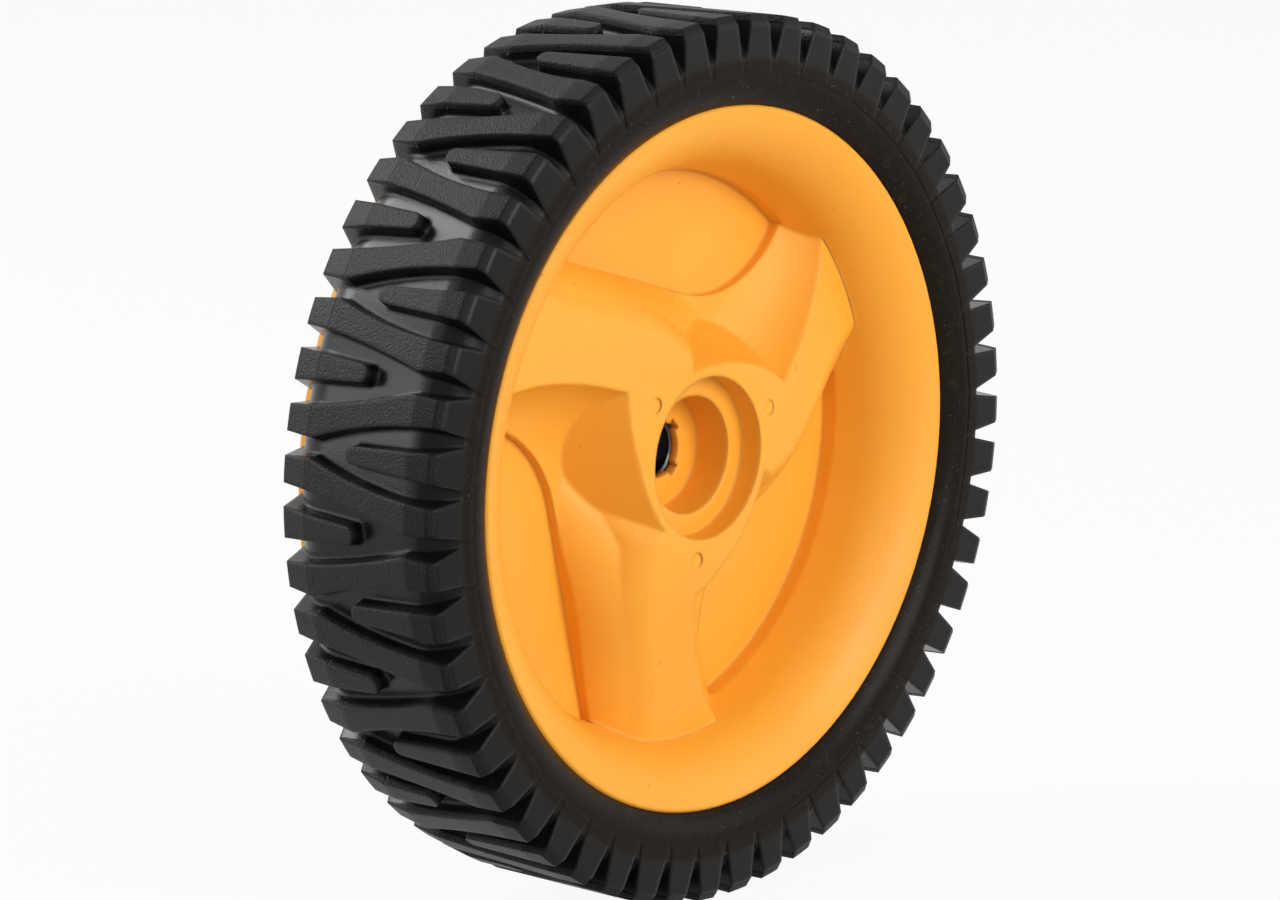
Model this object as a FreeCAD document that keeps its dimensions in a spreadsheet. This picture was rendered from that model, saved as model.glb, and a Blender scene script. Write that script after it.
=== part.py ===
import FreeCAD, Part
import math
import os
import Sketcher

# Lawn mower wheel: moulded rim with three swirl blades, ribbed rubber tyre, steel axle bush.
# Lengths in mm. Each body is drawn with the wheel axis on Y and the rim's front edge at y = 0,
# then moved so that the middle of the overall width lies on the origin.

SIZES = {
    # tyre
    "tread_radius": 101.6,
    "tread_floor_radius": 98.0,
    "shoulder_curve": 12.0,
    "lug_root_radius": 88.4,
    "lug_draft": 8.0,
    "lug_stock": 0.3,
    "tyre_edge": 0.3,
    "tyre_bulge": 2.6,
    "bulge_curve": 9.5,
    "ring_inner_radius": 87.2,
    "ring_outer_radius": 91.6,
    "ring_fall": 0.15,
    "tyre_back": 43.9,
    "tyre_back_radius": 91.7,
    "front_crease": 1.3,
    "front_bevel_radius": 99.3,
    "front_bevel_depth": 2.6,
    "front_proud": 0.15,
    "back_crease": 34.4,
    "back_bevel_radius": 100.3,
    "back_bevel_depth": 41.9,
    "back_lug_rise": 0.6,
    "tread_repeats": 18,
    "tread_phase": 1.75,
    "seat_clearance": 0.05,
    # lug outlines: distance from the middle of the front block, and place along the axis
    "front_block_half": 3.3,
    "front_block_tip_half": 1.85,
    "front_block_length": 22.7,
    "back_block_half": 3.55,
    "back_block_tip_half": 1.95,
    "back_block_start": 20.5,
    "block_corner": 1.5,
    "lug_near_back": 3.4,
    "lug_near_kink": 2.35,
    "lug_near_kink_place": 33.5,
    "lug_near_bend": 8.4,
    "lug_near_bend_place": 4.0,
    "lug_near_front": 9.05,
    "lug_near_curve": 110.0,
    "lug_far_back": 8.25,
    "lug_far_kink": 9.2,
    "lug_far_kink_place": 34.5,
    "lug_far_bend": 15.1,
    "lug_far_bend_place": 6.6,
    "lug_far_front": 14.45,
    "lug_far_curve": 200.0,
    # rim shell
    "seat_radius": 81.0,
    "lip_width": 0.6,
    "flange_radius": 91.2,
    "flange_thick": 2.3,
    "bowl_curve": 18.0,
    "bowl_wall_radius": 66.9,
    "bowl_wall_depth": 12.3,
    "bowl_floor_radius": 64.1,
    "floor_depth": 20.9,
    "pocket_depth": 23.1,
    "web_back": 26.5,
    "shell_thick": 3.0,
    "core_radius": 3.0,
    "back_bend_rise": 1.0,
    "back_flare": 4.0,
    "back_flare_rise": 5.3,
    "back_top_rise": 7.3,
    "boss_draft": 1.5,
    # blades and hub
    "blade_phase": 42.8,
    "blade_count": 3,
    "plate_depth": 5.2,
    "plate_radius": 24.0,
    "blade_fall": 0.174,
    "top_margin": 0.2,
    "blade_bury": 3.4,
    "crest_stock": 0.5,
    "flat_stock": 0.35,
    "hollow_bury": 0.3,
    "foot_bury": 1.8,
    "foot_extra": 1.0,
    "skirt_curve": 43.0,
    "skirt_centre_along": -9.5,
    "skirt_centre_across": 19.9,
    "skirt_from": 33.0,
    "skirt_to": 31.5,
    "skirt_spread": 0.55,
    "skirt_end_along": 18.0,
    "skirt_end_across": 6.0,
    "skirt_start_along": -12.0,
    "skirt_start_across": 10.0,
    "lead_distance": 36.3,
    "lead_low_curve": 20.0,
    "lead_top_curve": 13.0,
    "pocket_curve": 29.0,
    "pocket_overlap": 0.5,
    "dimple_radius": 1.8,
    "dimple_depth": 0.45,
    "dimple_pitch_radius": 23.6,
    "dimple_angle": 22.0,
    # hub bore
    "mouth_radius": 18.6,
    "recess_draft": 0.3,
    "ledge_depth": 10.75,
    "inner_radius": 13.7,
    "inner_depth": 19.9,
    "hole_radius": 6.6,
    "hole_wall": 2.1,
    "notch_radius": 7.9,
    "notch_width": 3.0,
    "notch_count": 4,
    "boss_radius": 17.0,
    "hub_back": 47.9,
    # bush
    "bush_radius": 8.0,
    "bush_bore": 6.35,
    "bush_chamfer": 0.4,
    "bush_clearance": 0.02,
}

# Sections across a blade: place along it, distance of the trailing crest, reach of the hollow,
# edge of the flat top, shoulder of the leading side, drop of that shoulder, share of the full height,
# and how much flatter the hollow is than one that runs smoothly into the floor.
SECTION_PARTS = ("along", "crest", "hollow", "flat", "shoulder", "drop", "rise", "ease")
SECTIONS = {
    "low": (-6.0, 10.5, 25.0, 17.0, 27.0, 5.3, 0.03, 1.1),
    "hub": (12.0, 10.5, 25.0, 17.0, 27.0, 5.3, 1.0, 1.1),
    "near": (30.0, 10.5, 21.0, 22.3, 29.8, 2.5, 1.0, 1.1),
    "mid": (48.0, 9.6, 15.6, 21.5, 29.0, 2.5, 1.0, 1.4),
    "far": (70.0, 0.3, 8.3, 30.0, 37.0, 2.5, 1.0, 2.5),
}
for section, row in SECTIONS.items():
    for part, number in zip(SECTION_PARTS, row):
        SIZES["%s_%s" % (section, part)] = number

# Extra length of a piece or a cut where another cut trims it or nothing is left.
SPARE = 2.0

doc = FreeCAD.newDocument("mower_wheel")
sheet = doc.addObject("Spreadsheet::Sheet", "dims")
for row, (name, size) in enumerate(SIZES.items(), 1):
    sheet.set("A%d" % row, name)
    sheet.set("B%d" % row, str(size))
    sheet.setAlias("B%d" % row, name)
doc.recompute()


class Val:
    """A number together with the sheet formula that gives it."""

    def __init__(self, number, text=None):
        self.number = float(number)
        self.text = text or repr(float(number))

    def join(self, other, sign, number):
        return Val(number, "(%s %s %s)" % (self.text, sign, other.text))

    def __add__(self, other):
        other = val(other)
        return self.join(other, "+", self.number + other.number)

    def __sub__(self, other):
        other = val(other)
        return self.join(other, "-", self.number - other.number)

    def __mul__(self, other):
        other = val(other)
        return self.join(other, "*", self.number * other.number)

    def __truediv__(self, other):
        other = val(other)
        return self.join(other, "/", self.number / other.number)

    def __neg__(self):
        return Val(-self.number, "(0 - %s)" % self.text)


def val(x):
    return x if isinstance(x, Val) else Val(x)


def size(name):
    return Val(SIZES[name], "dims." + name)


def root(v):
    return Val(math.sqrt(v.number), "sqrt(%s)" % v.text)


def larger(a, b):
    a, b = val(a), val(b)
    return Val(max(a.number, b.number), "max(%s; %s)" % (a.text, b.text))


def sine(v):
    return Val(math.sin(math.radians(v.number)), "sin(%s)" % v.text)


def cosine(v):
    return Val(math.cos(math.radians(v.number)), "cos(%s)" % v.text)


def new_body(label, turn=None):
    """A body moved to the wheel's middle and turned about the axis."""
    body = doc.addObject("PartDesign::Body", label)
    body.Label = label
    shift = -((size("hub_back") - size("tyre_bulge")) / 2)
    spin = FreeCAD.Rotation(FreeCAD.Vector(0, 1, 0), -turn.number if turn else 0)
    body.Placement = FreeCAD.Placement(FreeCAD.Vector(0, shift.number, 0), spin)
    body.setExpression("Placement.Base.y", shift.text)
    if turn:
        body.setExpression("Placement.Rotation.Angle", (-turn).text)
    return body


def origin_item(body, name):
    for item in body.Origin.OriginFeatures:
        if item.Role == name:
            return item
    raise RuntimeError("no " + name)


def new_sketch(body, name, plane):
    sketch = body.newObject("Sketcher::SketchObject", name)
    sketch.AttachmentSupport = [(origin_item(body, plane), "")]
    sketch.MapMode = "FlatFace"
    return sketch


def lift(sketch, distance):
    """Move a sketch along its normal."""
    sketch.AttachmentOffset = FreeCAD.Placement(FreeCAD.Vector(0, 0, distance.number), FreeCAD.Rotation())
    sketch.setExpression("AttachmentOffset.Base.z", distance.text)


def fix(sketch, kind, *place):
    value = place[-1]
    number = sketch.addConstraint(Sketcher.Constraint(kind, *place[:-1], value.number))
    sketch.setExpression("Constraints[%d]" % number, value.text)


def fix_point(sketch, geo, end, x, y):
    """Tie a vertex to its place; a plain zero puts it on the axis."""
    if x.text == "0.0":
        sketch.addConstraint(Sketcher.Constraint("PointOnObject", geo, end, -2))
    else:
        fix(sketch, "DistanceX", -1, 1, geo, end, x)
    if y.text == "0.0":
        sketch.addConstraint(Sketcher.Constraint("PointOnObject", geo, end, -1))
    else:
        fix(sketch, "DistanceY", -1, 1, geo, end, y)


def middle_of_arc(a, b, radius):
    """Point half way along the arc; a positive radius bulges to the right of the way a to b."""
    half = (b - a) * 0.5
    rise = abs(radius) - math.sqrt(max(radius * radius - half.Length ** 2, 0))
    side = FreeCAD.Vector(half.y, -half.x, 0).normalize()
    return a + half + side * math.copysign(rise, radius)


def outline(sketch, steps):
    """Closed outline. Each step is (x, y) or (x, y, radius) with an arc leading to that point."""
    steps = [tuple(val(v) for v in step) for step in steps]
    points = [FreeCAD.Vector(step[0].number, step[1].number, 0) for step in steps]
    ends = []
    for i, step in enumerate(steps):
        a, b = points[i - 1], points[i]
        if len(step) == 2:
            geo = sketch.addGeometry(Part.LineSegment(a, b))
        else:
            geo = sketch.addGeometry(Part.Arc(a, middle_of_arc(a, b, step[2].number), b))
        first = 1 if sketch.getPoint(geo, 1).distanceToPoint(a) < 1e-6 else 2
        ends.append((geo, first, 3 - first))
    for i, step in enumerate(steps):
        geo, first, last = ends[i]
        after = ends[(i + 1) % len(ends)]
        sketch.addConstraint(Sketcher.Constraint("Coincident", geo, last, after[0], after[1]))
        fix_point(sketch, geo, last, step[0], step[1])
        if len(step) == 3:
            reach = step[2] if step[2].number > 0 else -step[2]
            fix(sketch, "Radius", geo, reach)
    doc.recompute()


def turned(body, kind, name, steps):
    """A revolved solid or cut about the wheel's axis."""
    sketch = new_sketch(body, name + "_profile", "XY_Plane")
    outline(sketch, steps)
    feature = body.newObject("PartDesign::" + kind, name)
    feature.Profile = sketch
    feature.ReferenceAxis = (sketch, ["V_Axis"])
    feature.Angle = 360
    sketch.Visibility = False
    doc.recompute()
    return feature


def pushed(body, kind, sketch, name, length, back=False):
    """A pad or a pocket of one sketch."""
    feature = body.newObject("PartDesign::" + kind, name)
    feature.Profile = sketch
    feature.Length = length.number
    feature.setExpression("Length", length.text)
    feature.Reversed = back
    sketch.Visibility = False
    doc.recompute()
    return feature


def repeated(body, name, originals, count):
    feature = body.newObject("PartDesign::PolarPattern", name)
    feature.Originals = originals
    feature.Axis = (origin_item(body, "Y_Axis"), [""])
    feature.Angle = 360
    feature.Occurrences = int(count.number)
    feature.setExpression("Occurrences", count.text)
    body.Tip = feature
    doc.recompute()
    return feature


# Tyre

tyre = new_body("tyre", size("tread_phase"))
tyre_inner = size("seat_radius") + size("seat_clearance")
tyre_end = size("tyre_back") - size("seat_clearance")
ring_front = -size("tyre_bulge") + size("ring_fall")


def shoulder_length(edge_radius):
    """Length along the axis of a shoulder that leaves the tread floor smoothly and drops to an edge."""
    drop = size("tread_floor_radius") - edge_radius
    return root(larger(size("shoulder_curve") * drop * 2.0 - drop * drop, 1.0))


floor_front = ring_front + shoulder_length(size("ring_outer_radius"))
floor_back = tyre_end - shoulder_length(size("tyre_back_radius"))
turned(tyre, "Revolution", "carcass", [
    (tyre_inner, tyre_end),
    (tyre_inner, size("tyre_edge")),
    (size("ring_inner_radius"), -size("tyre_bulge"), size("bulge_curve")),
    (size("ring_outer_radius"), ring_front),
    (size("tread_floor_radius"), floor_front, size("shoulder_curve")),
    (size("tread_floor_radius"), floor_back),
    (size("tyre_back_radius"), tyre_end, size("shoulder_curve")),
])

lug_step = Val(360) / size("tread_repeats") / 4
lug_middle = size("tread_radius") * lug_step * math.radians(1)
lug_front = -size("tyre_bulge") - SPARE
lug_back = size("tyre_back") + SPARE
lug_top = size("tread_radius") + size("lug_stock")


def lug(name, steps, number):
    """One lug grown inward into the carcass with draft, number quarter periods round the tyre."""
    sketch = new_sketch(tyre, name + "_outline", "XY_Plane")
    angle = lug_step * number
    across = lug_top * sine(angle)
    along = lug_top * cosine(angle)
    sketch.AttachmentOffset = FreeCAD.Placement(FreeCAD.Vector(across.number, 0, along.number),
                                                FreeCAD.Rotation(FreeCAD.Vector(0, 1, 0), angle.number))
    sketch.setExpression("AttachmentOffset.Base.x", across.text)
    sketch.setExpression("AttachmentOffset.Base.z", along.text)
    if number:
        sketch.setExpression("AttachmentOffset.Rotation.Angle", angle.text)
    outline(sketch, steps)
    feature = pushed(tyre, "Pad", sketch, name, lug_top - size("lug_root_radius"), back=True)
    feature.TaperAngle = size("lug_draft").number
    feature.setExpression("TaperAngle", size("lug_draft").text)
    doc.recompute()
    return feature


def long_lug(name, side):
    """Slanted lug from edge to edge, side +1 or -1 of the front block."""
    near = [("lug_near_back", lug_back), ("lug_near_kink", size("lug_near_kink_place")),
            ("lug_near_bend", size("lug_near_bend_place")), ("lug_near_front", lug_front)]
    far = [("lug_far_front", lug_front), ("lug_far_bend", size("lug_far_bend_place")),
           ("lug_far_kink", size("lug_far_kink_place")), ("lug_far_back", lug_back)]
    curves = {
        "lug_near_bend": size("lug_near_curve") * -side,
        "lug_far_kink": size("lug_far_curve") * -side,
    }
    steps = []
    for key, place in near + far:
        step = ((size(key) - lug_middle) * side, place)
        steps.append(step + (curves[key],) if key in curves else step)
    return lug(name, steps, side)


def block(name, end, half, tip, tip_half, number):
    """Short block from one tyre edge to a rounded tip."""
    corner = size("block_corner")
    inward = corner if end.number < tip.number else -corner
    bend = corner if end.number < tip.number else -corner
    steps = [(-half, end), (half, end), (tip_half, tip - inward), (tip_half - corner, tip, bend),
             (corner - tip_half, tip), (-tip_half, tip - inward, bend)]
    return lug(name, steps, number)


lugs = [
    block("front_block", lug_front, size("front_block_half"), size("front_block_length"),
          size("front_block_tip_half"), 0),
    long_lug("right_lug", 1),
    long_lug("left_lug", -1),
    block("back_block", lug_back, size("back_block_half"), size("back_block_start"),
          size("back_block_tip_half"), 2),
]
repeated(tyre, "tread", lugs, size("tread_repeats"))
clear = size("tread_radius") + 6.0 * SPARE
turned(tyre, "Groove", "tread_form", [
    (clear, lug_front - 2.0 * SPARE),
    (clear, lug_back + 2.0 * SPARE),
    (size("lug_root_radius") - SPARE, lug_back + 2.0 * SPARE),
    (size("lug_root_radius") - SPARE, tyre_end),
    (size("tyre_back_radius") + size("back_lug_rise"), tyre_end),
    (size("back_bevel_radius"), size("back_bevel_depth")),
    (size("tread_radius"), size("back_crease")),
    (size("tread_radius"), -size("front_crease")),
    (size("front_bevel_radius"), -size("front_bevel_depth")),
    (size("lug_root_radius") - SPARE, -size("tyre_bulge") - size("front_proud")),
    (size("lug_root_radius") - SPARE, lug_front - 2.0 * SPARE),
])

# Rim

rim = new_body("rim", size("blade_phase"))
turned(rim, "Revolution", "shell", [
    (size("core_radius"), size("floor_depth")),
    (size("bowl_floor_radius"), size("floor_depth")),
    (size("bowl_wall_radius"), size("bowl_wall_depth")),
    (size("seat_radius") - size("lip_width"), 0, size("bowl_curve")),
    (size("seat_radius"), size("lip_width")),
    (size("seat_radius"), size("tyre_back")),
    (size("flange_radius"), size("tyre_back")),
    (size("flange_radius"), size("tyre_back") + size("flange_thick")),
    (size("boss_radius"), size("tyre_back") + size("flange_thick")),
    (size("boss_radius"), size("hub_back")),
    (size("core_radius"), size("hub_back")),
])

buried = size("floor_depth") + size("blade_bury")
over = size("plate_depth") - SPARE


def lofted(name, sections):
    feature = rim.newObject("PartDesign::AdditiveLoft", name)
    feature.Profile = sections[0]
    feature.Sections = [(section, [""]) for section in sections[1:]]
    for section in sections:
        section.Visibility = False
    doc.recompute()
    return feature


def skirt_outline(name, depth):
    """Level section of the hub's side: one bowed edge for each blade, wider with depth."""
    sketch = new_sketch(rim, name, "XZ_Plane")
    lift(sketch, -depth)
    radius = size("skirt_curve") + size("skirt_spread") * (depth - size("plate_depth"))
    along = size("skirt_centre_along")
    across = size("skirt_centre_across")
    outline(sketch, [
        (along - radius * sine(size("skirt_from")), across - radius * cosine(size("skirt_from"))),
        (along + radius * sine(size("skirt_to")), across - radius * cosine(size("skirt_to")), radius),
        (size("skirt_end_along"), size("skirt_end_across")),
        (size("skirt_start_along"), size("skirt_start_across")),
    ])
    return sketch


skirt = lofted("skirt", [skirt_outline("skirt_top", over), skirt_outline("skirt_base", buried)])


def top_depth(along, across):
    """Depth of the blades' common cone at a place along and across a blade."""
    reach = root(along * along + across * across)
    return size("plate_depth") + size("blade_fall") * (reach - size("plate_radius"))


def blade_section(section):
    """Section across a blade: rounded leading side, flat top, hollow trailing side."""
    values = [size("%s_%s" % (section, part)) for part in SECTION_PARTS]
    along, crest, hollow, flat, shoulder, drop, rise, ease = values
    sketch = new_sketch(rim, "section_" + section, "YZ_Plane")
    lift(sketch, along)
    floor = size("floor_depth")
    foot = size("lead_distance") + size("foot_extra")
    top = floor - rise * (floor - top_depth(along, crest) + size("crest_stock"))
    flat_depth = floor - rise * (floor - top_depth(along, flat) + size("flat_stock"))
    shoulder_depth = floor - rise * (floor - top_depth(along, shoulder) - drop)
    hollow_foot = floor + size("hollow_bury")
    fall = hollow_foot - top
    bend = (hollow * hollow + fall * fall) / (fall * 2.0) * ease
    outline(sketch, [
        (buried, hollow - crest),
        (buried, -foot),
        (floor + size("foot_bury"), -foot),
        (shoulder_depth, -shoulder, -size("lead_low_curve")),
        (flat_depth, -flat, -size("lead_top_curve")),
        (top, -crest),
        (hollow_foot, hollow - crest, bend),
    ])
    return sketch


sections = {section: blade_section(section) for section in SECTIONS}
blade_root = lofted("blade_root", [sections["low"], sections["hub"]])
blade = lofted("blade", [sections[section] for section in ("hub", "near", "mid", "far")])
repeated(rim, "swirl", [skirt, blade_root, blade], size("blade_count"))

# One cone trims the hub plate and the three blades.
top_radius = size("bowl_wall_radius") - size("top_margin")
turned(rim, "Groove", "top_form", [
    (0, size("plate_depth")),
    (size("plate_radius"), size("plate_depth")),
    (top_radius, top_depth(top_radius, Val(0.0))),
    (top_radius, -SPARE),
    (0, -SPARE),
])

# Leaf pocket beside each blade.
leaf = new_sketch(rim, "leaf", "XZ_Plane")
lift(leaf, -size("plate_depth"))
pocket_radius = size("bowl_floor_radius") + size("pocket_overlap")
lead = size("lead_distance")
curve = size("pocket_curve")
tip = root(pocket_radius * pocket_radius - lead * lead)
height = lead + curve
swing = (pocket_radius * pocket_radius + height * height - curve * curve) / (height * 2.0)
swing_across = root(pocket_radius * pocket_radius - swing * swing)
outline(leaf, [
    (0, -lead),
    (-swing_across, -swing, curve),
    (tip, -lead, pocket_radius),
])
leaf_cut = pushed(rim, "Pocket", leaf, "leaf_pocket", size("pocket_depth") - size("plate_depth"))
repeated(rim, "leaves", [leaf_cut], size("blade_count"))

# Open back, leaving web, shell, seat and hub boss.
barrel = size("seat_radius") - size("shell_thick")
wall_back = size("bowl_wall_radius") + size("shell_thick")
turned(rim, "Groove", "back_hollow", [
    (size("boss_radius"), size("hub_back") + SPARE),
    (size("boss_radius") + size("boss_draft"), size("web_back")),
    (size("bowl_floor_radius") + size("shell_thick"), size("web_back")),
    (wall_back, size("bowl_wall_depth") + size("back_bend_rise")),
    (wall_back + size("back_flare"), size("bowl_wall_depth") - size("back_flare_rise")),
    (barrel, size("bowl_wall_depth") - size("back_top_rise")),
    (barrel, size("hub_back") + SPARE),
])

# Stepped hub recess and the seat of the bush.
bush_front = size("inner_depth") + size("hole_wall")
seat = size("bush_radius") + size("bush_clearance")
turned(rim, "Groove", "hub_recess", [
    (0, over),
    (size("mouth_radius") + size("recess_draft"), over),
    (size("mouth_radius"), size("ledge_depth")),
    (size("inner_radius"), size("ledge_depth")),
    (size("inner_radius") - size("recess_draft"), size("inner_depth")),
    (size("hole_radius"), size("inner_depth")),
    (size("hole_radius"), bush_front),
    (seat, bush_front),
    (seat, size("hub_back") + SPARE),
    (0, size("hub_back") + SPARE),
])

notch = new_sketch(rim, "notch_outline", "XZ_Plane")
lift(notch, -size("inner_depth") + SPARE)
half = size("notch_width") / 2
inside = size("hole_radius") - SPARE
outside = size("notch_radius")
outline(notch, [(inside, half), (inside, -half), (outside, -half), (outside, half)])
notch_cut = pushed(rim, "Pocket", notch, "notch", size("hole_wall") + SPARE)
repeated(rim, "notches", [notch_cut], size("notch_count"))

# Moulding dimples on the hub plate, one at each blade.
dimple = new_sketch(rim, "dimple_outline", "XZ_Plane")
lift(dimple, -size("plate_depth") + SPARE)
pitch = size("dimple_pitch_radius")
spot_x = pitch * cosine(size("dimple_angle"))
spot_y = -(pitch * sine(size("dimple_angle")))
middle = FreeCAD.Vector(spot_x.number, spot_y.number, 0)
dimple.addGeometry(Part.Circle(middle, FreeCAD.Vector(0, 0, 1), SIZES["dimple_radius"]))
fix_point(dimple, 0, 3, spot_x, spot_y)
fix(dimple, "Radius", 0, size("dimple_radius"))
doc.recompute()
dimple_cut = pushed(rim, "Pocket", dimple, "dimple", size("dimple_depth") + SPARE)
repeated(rim, "dimples", [dimple_cut], size("blade_count"))

# Bush

bush = new_body("axle_bush")
edge = size("bush_chamfer")
turned(bush, "Revolution", "sleeve", [
    (size("bush_bore"), bush_front + edge),
    (size("bush_bore") + edge, bush_front),
    (size("bush_radius") - edge, bush_front),
    (size("bush_radius"), bush_front + edge),
    (size("bush_radius"), size("hub_back") - edge),
    (size("bush_radius") - edge, size("hub_back")),
    (size("bush_bore") + edge, size("hub_back")),
    (size("bush_bore"), size("hub_back") - edge),
])

doc.recompute()
for item in doc.Objects:
    if "Invalid" in item.State or "Error" in item.State:
        raise RuntimeError("%s did not build" % item.Label)
os.makedirs("parts", exist_ok=True)
for body in (tyre, rim, bush):
    if body.Shape.isNull() or not body.Shape.isValid() or len(body.Shape.Solids) != 1:
        raise RuntimeError("%s is not one sound solid" % body.Label)
    body.Shape.exportStep("parts/%s.step" % body.Label)
    print(body.Label, "volume %.1f cm3" % (body.Shape.Volume / 1000), "faces", len(body.Shape.Faces))
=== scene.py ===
import bpy
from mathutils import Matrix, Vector

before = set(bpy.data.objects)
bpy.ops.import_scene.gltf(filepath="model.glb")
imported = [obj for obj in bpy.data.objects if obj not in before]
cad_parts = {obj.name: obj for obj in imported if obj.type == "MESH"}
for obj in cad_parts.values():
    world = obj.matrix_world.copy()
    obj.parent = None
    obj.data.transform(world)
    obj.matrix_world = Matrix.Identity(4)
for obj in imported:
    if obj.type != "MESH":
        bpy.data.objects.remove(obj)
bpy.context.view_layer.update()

scene = bpy.context.scene
scene.view_settings.view_transform = "Standard"


def rgb(r, g, b):
    return (r, g, b, 1.0)


# Lengths are in metres. The wheel turns about y, and its face looks to -y.
RIM_FACE = Vector((0.0, -0.02265, 0.0))
TREAD_RADIUS = 0.1016

# Where the rubber's look changes, from the first value of a pair to the second.
LUG_TOP_RADII = (0.0996, 0.1003)
RING_RADII = (0.093, 0.090)
FRONT_Y = (-0.0165, -0.0185)
PARTING_Y = 0.01175
PARTING_HALF_WIDTHS = (0.0001, 0.0003)

RUBBER_LOW = rgb(0.0060, 0.0055, 0.0048)
RUBBER_TOP = rgb(0.0056, 0.0053, 0.0049)
# The ring's brown tint is a painted reflection of the orange rim, not the rubber's own colour.
RUBBER_RING_PAINTED_ORANGE_REFLECTION = rgb(0.0115, 0.0080, 0.0054)
RUBBER_DUST = rgb(0.075, 0.062, 0.048)
RUBBER_SPECK = rgb(0.10, 0.10, 0.095)
ORANGE_DEEP = rgb(0.79, 0.330, 0.026)
ORANGE_LIGHT = rgb(0.81, 0.345, 0.029)
ORANGE_SPECK = rgb(0.40, 0.14, 0.02)
STEEL = rgb(0.09, 0.09, 0.093)

FLOOR_SIZE = 8.0
FLOOR_GAP = 0.0005
FLOOR_GREY = rgb(0.65, 0.65, 0.65)
FLOOR_WHITE_SHARE = 0.93
BACKDROP_WHITE = rgb(0.96, 0.96, 0.96)
BACKDROP_WHITE_SHARE = 1.0
PLAIN_LIGHT = rgb(1.0, 1.0, 1.0)
PLAIN_LIGHT_LEVEL = 0.35

# Name, place, width of the disc and watts.
SOFTBOXES = (
    ("front", (0.22, -1.55, 0.40), 0.96, 14.6),
    ("right", (1.25, -1.05, 0.35), 0.8, 2.0),
    ("above", (0.10, -1.40, 0.90), 1.0, 4.0),
    ("left", (-0.80, -1.20, 0.80), 0.75, 5.2),
    ("back", (-0.45, 1.10, 0.85), 0.9, 15.5),
    ("edge", (-1.20, 0.95, 0.28), 0.7, 4.0),
)

# The camera stands 12 degrees up and 51 degrees round from the face. Its aim lies left of the rim's face and
# above it, so that the wheel is a little right of the middle and a little low.
CAMERA_SIDE = Vector((-0.756, -0.621, 0.2066))
CAMERA_DISTANCE = 1.1099
FOCUS_PIXELS = 4892.0
AIM_LEFT_PIXELS = 86.33
AIM_UP_PIXELS = 11.07
PICTURE_WIDTH_PIXELS = 1280.0
SENSOR_WIDTH_MM = 36.0


class Nodes:
    """A small helper that adds and joins shader nodes of one material."""

    def __init__(self, name):
        self.material = bpy.data.materials.new(name)
        self.material.use_nodes = True
        self.tree = self.material.node_tree
        self.shader = self.tree.nodes["Principled BSDF"]
        self.place = self.add("ShaderNodeTexCoord").outputs["Object"]

    def add(self, kind, inputs=None, **settings):
        node = self.tree.nodes.new(kind)
        for key, value in settings.items():
            setattr(node, key, value)
        for key, value in (inputs or {}).items():
            self.put(node.inputs[key], value)
        return node

    def put(self, socket, value):
        """Link a socket to another one, or give it a plain value."""
        if isinstance(value, bpy.types.NodeSocket):
            self.tree.links.new(value, socket)
        else:
            socket.default_value = value

    def set(self, **values):
        """Set inputs of the material's shader, with underscores for the spaces in their names."""
        for key, value in values.items():
            self.put(self.shader.inputs[key.replace("_", " ")], value)

    def math(self, operation, *values):
        node = self.add("ShaderNodeMath", operation=operation)
        for socket, value in zip(node.inputs, values):
            self.put(socket, value)
        return node.outputs[0]

    def times(self, first, second):
        return self.math("MULTIPLY", first, second)

    def ramp(self, value, low, high, out_low=0.0, out_high=1.0):
        """Smooth step from out_low at low to out_high at high."""
        inputs = {"Value": value, "From Min": low, "From Max": high, "To Min": out_low, "To Max": out_high}
        return self.add("ShaderNodeMapRange", inputs, interpolation_type="SMOOTHSTEP").outputs["Result"]

    def between(self, mask, off, on):
        """Smooth step from off where the mask is 0 to on where it is 1."""
        return self.ramp(mask, 0.0, 1.0, off, on)

    def noise(self, scale, detail, roughness=0.5, stretch=None):
        place = self.place
        if stretch:
            stretched = self.add("ShaderNodeVectorMath", {0: place, 1: stretch}, operation="MULTIPLY")
            place = stretched.outputs[0]
        inputs = {"Vector": place, "Scale": scale, "Detail": detail, "Roughness": roughness}
        return self.add("ShaderNodeTexNoise", inputs).outputs["Fac"]

    def mix(self, factor, first, second):
        """Mix two colours. The node has the same socket names for every type, so numbers pick the colours."""
        return self.add("ShaderNodeMix", {0: factor, 6: first, 7: second}, data_type="RGBA").outputs[2]

    def wheel_place(self):
        """The y of the surface point and its distance from the wheel's axis."""
        x, y, z = self.add("ShaderNodeSeparateXYZ", {0: self.place}).outputs
        square = self.math("ADD", self.times(x, x), self.times(z, z))
        return y, self.math("SQRT", square)

    def relief(self, height, distance, edge_radius):
        """Bump over softly rounded edges."""
        soft = self.add("ShaderNodeBevel", {"Radius": edge_radius}, samples=6).outputs[0]
        inputs = {"Strength": 1.0, "Distance": distance, "Height": height, "Normal": soft}
        self.set(Normal=self.add("ShaderNodeBump", inputs).outputs[0])


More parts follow.
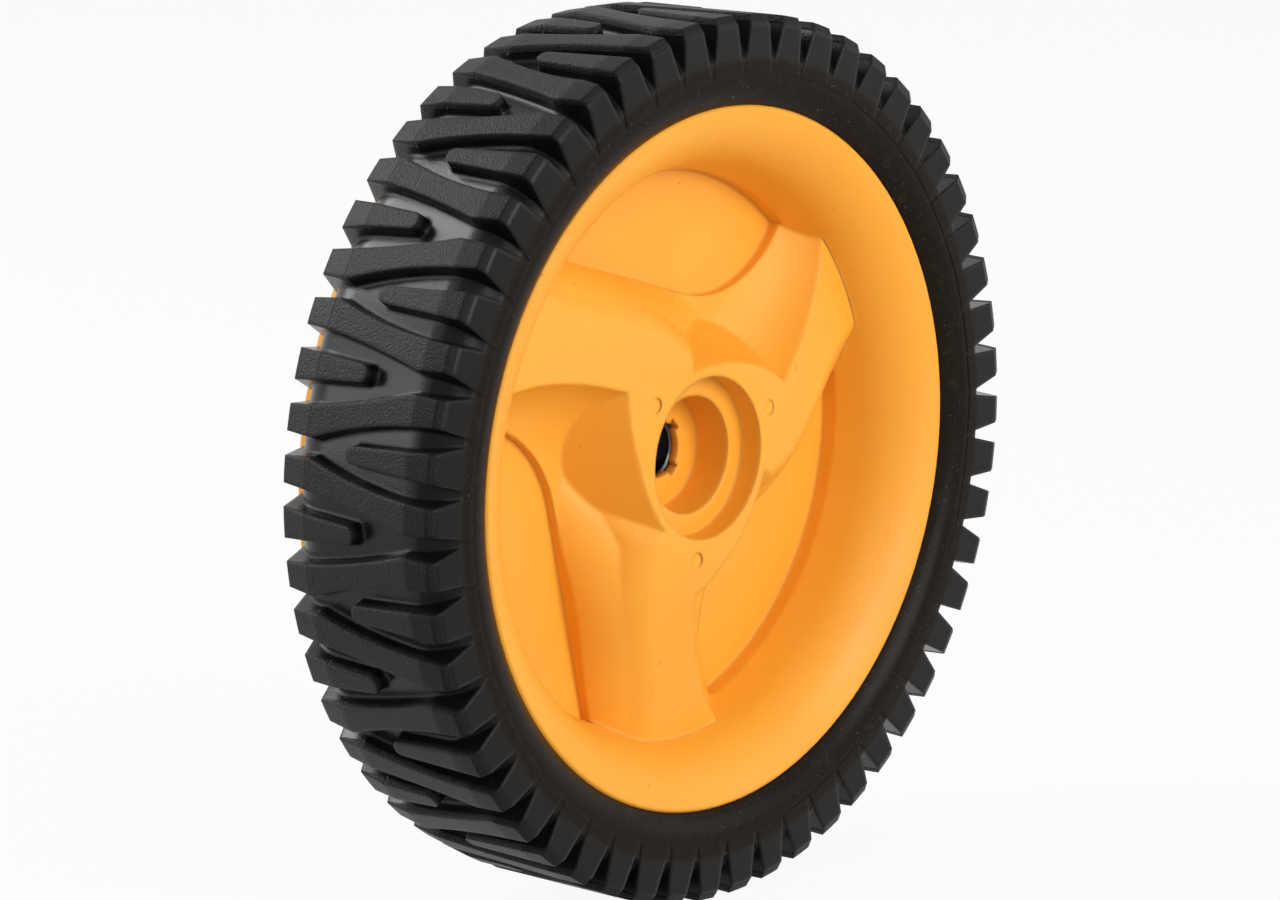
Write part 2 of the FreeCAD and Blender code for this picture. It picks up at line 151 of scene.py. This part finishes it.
def rubber():
    """Black rubber: grained on the lug tops, smooth below, with a little dust on the ring beside the rim, and
    a brown tint on that ring that is a painted reflection of the orange rim.
    """
    n = Nodes("tyre_rubber")
    y, radius = n.wheel_place()
    top = n.ramp(radius, *LUG_TOP_RADII)
    front = n.ramp(y, *FRONT_Y)
    ring = n.times(front, n.ramp(radius, *RING_RADII))
    parting_distance = n.math("ABSOLUTE", n.math("SUBTRACT", y, PARTING_Y))
    parting = n.ramp(parting_distance, *PARTING_HALF_WIDTHS, out_low=1.0, out_high=0.0)

    dust = n.times(n.ramp(n.noise(scale=240.0, detail=5.0, roughness=0.7), low=0.56, high=0.72), ring)
    specks = n.ramp(n.noise(scale=1900.0, detail=1.0), low=0.72, high=0.79)
    specks = n.times(specks, n.between(ring, off=0.35, on=0.9))
    dust_strength = 0.15
    colour = n.mix(top, RUBBER_LOW, RUBBER_TOP)
    # The ring beside the rim is painted browner: a painted reflection of the orange rim.
    colour = n.mix(ring, colour, RUBBER_RING_PAINTED_ORANGE_REFLECTION)
    colour = n.mix(n.times(dust, dust_strength), colour, RUBBER_DUST)
    colour = n.mix(specks, colour, RUBBER_SPECK)

    parting_depth = 1.2
    grain = n.noise(scale=1900.0, detail=3.0)
    height = n.times(grain, n.between(top, off=0.12, on=1.0))
    height = n.math("SUBTRACT", height, n.times(n.times(parting, top), parting_depth))

    rough_spread = 0.08
    rough = n.between(top, off=0.20, on=0.42)
    rough = n.math("ADD", rough, n.times(n.noise(scale=160.0, detail=4.0), rough_spread))

    shine = n.times(n.between(front, off=0.26, on=0.13), n.between(ring, off=1.0, on=0.36))
    shine = n.times(shine, n.between(top, off=1.0, on=0.78))
    # The even shine stands in wherever the varying one is not read.
    n.set(Specular_IOR_Level=0.18)
    n.set(Base_Color=colour, Roughness=rough, Specular_IOR_Level=shine)
    n.relief(height, distance=0.00030, edge_radius=0.0013)
    return n.material


def orange_plastic():
    """Satin orange plastic with faint clouds and a few darker specks."""
    n = Nodes("orange_plastic")
    speck_strength = 0.5
    cloud = n.ramp(n.noise(scale=28.0, detail=4.0), low=0.35, high=0.65)
    speck = n.ramp(n.noise(scale=420.0, detail=1.0), low=0.80, high=0.84)
    colour = n.mix(cloud, ORANGE_DEEP, ORANGE_LIGHT)
    colour = n.mix(n.times(speck, speck_strength), colour, ORANGE_SPECK)
    rough = n.ramp(n.noise(scale=70.0, detail=3.0), low=0.3, high=0.7, out_low=0.40, out_high=0.48)
    n.set(Base_Color=colour, Roughness=rough, Specular_IOR_Level=0.28)
    n.relief(n.noise(scale=900.0, detail=3.0), distance=0.00004, edge_radius=0.0016)
    return n.material


def bush_steel():
    """Dark steel with fine turning marks round the bore."""
    n = Nodes("bush_steel")
    turning = n.noise(scale=900.0, detail=2.0, stretch=(0.2, 3.0, 0.2))
    rough = n.ramp(turning, low=0.3, high=0.7, out_low=0.22, out_high=0.36)
    n.set(Base_Color=STEEL, Metallic=1.0, Roughness=rough)
    n.relief(turning, distance=0.00002, edge_radius=0.0003)
    return n.material


def dress(node, material):
    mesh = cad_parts[node].data
    mesh.materials.clear()
    mesh.materials.append(material)


def seen_white(tree, plain, white, share):
    """Mix two shaders so that camera, mirror and glass rays see mostly the white one."""
    path = tree.nodes.new("ShaderNodeLightPath")
    factor = path.outputs["Is Camera Ray"]
    for kind in ("Is Glossy Ray", "Is Transmission Ray"):
        either = tree.nodes.new("ShaderNodeMath")
        either.operation = "MAXIMUM"
        tree.links.new(factor, either.inputs[0])
        tree.links.new(path.outputs[kind], either.inputs[1])
        factor = either.outputs[0]
    part = tree.nodes.new("ShaderNodeMath")
    part.operation = "MULTIPLY"
    part.inputs[1].default_value = share
    tree.links.new(factor, part.inputs[0])
    mix = tree.nodes.new("ShaderNodeMixShader")
    tree.links.new(part.outputs[0], mix.inputs[0])
    tree.links.new(plain.outputs[0], mix.inputs[1])
    tree.links.new(white.outputs[0], mix.inputs[2])
    return mix.outputs[0]


def floor():
    """A pale floor just under the tread, which keeps a faint shadow."""
    bpy.ops.mesh.primitive_plane_add(size=FLOOR_SIZE, location=(0, 0, -TREAD_RADIUS - FLOOR_GAP))
    plane = bpy.context.object
    plane.name = "floor"
    material = bpy.data.materials.new("floor")
    material.use_nodes = True
    tree = material.node_tree
    plain = tree.nodes["Principled BSDF"]
    plain.inputs["Base Color"].default_value = FLOOR_GREY
    plain.inputs["Roughness"].default_value = 0.9
    white = tree.nodes.new("ShaderNodeEmission")
    surface = seen_white(tree, plain, white, FLOOR_WHITE_SHARE)
    tree.links.new(surface, tree.nodes["Material Output"].inputs["Surface"])
    plane.data.materials.append(material)


def surroundings():
    """A world that lights the wheel softly and looks white to the camera."""
    world = bpy.data.worlds.new("studio")
    world.use_nodes = True
    scene.world = world
    tree = world.node_tree
    plain = tree.nodes["Background"]
    plain.inputs["Color"].default_value = PLAIN_LIGHT
    plain.inputs["Strength"].default_value = PLAIN_LIGHT_LEVEL
    white = tree.nodes.new("ShaderNodeBackground")
    white.inputs["Color"].default_value = BACKDROP_WHITE
    surface = seen_white(tree, plain, white, BACKDROP_WHITE_SHARE)
    tree.links.new(surface, tree.nodes["World Output"].inputs["Surface"])


def softbox(name, place, size, energy):
    """A round area lamp that looks at the wheel's middle."""
    light = bpy.data.lights.new(name, "AREA")
    light.shape = "DISK"
    light.size = size
    light.energy = energy
    lamp = bpy.data.objects.new(name, light)
    lamp.location = place
    lamp.rotation_euler = (-Vector(place)).to_track_quat("-Z", "Y").to_euler()
    scene.collection.objects.link(lamp)


def place_camera():
    toward = CAMERA_SIDE.normalized()
    across = Vector((0, 0, 1)).cross(toward).normalized()
    upward = toward.cross(across)
    aim = -toward - across * (AIM_LEFT_PIXELS / FOCUS_PIXELS) + upward * (AIM_UP_PIXELS / FOCUS_PIXELS)
    data = bpy.data.cameras.new("camera")
    data.sensor_width = SENSOR_WIDTH_MM
    data.lens = SENSOR_WIDTH_MM * FOCUS_PIXELS / PICTURE_WIDTH_PIXELS
    camera = bpy.data.objects.new("camera", data)
    camera.location = RIM_FACE + toward * CAMERA_DISTANCE
    camera.rotation_euler = aim.to_track_quat("-Z", "Y").to_euler()
    scene.collection.objects.link(camera)
    scene.camera = camera


dress("rim", orange_plastic())
dress("axle_bush", bush_steel())
dress("tyre", rubber())
floor()
surroundings()
for row in SOFTBOXES:
    softbox(*row)
place_camera()
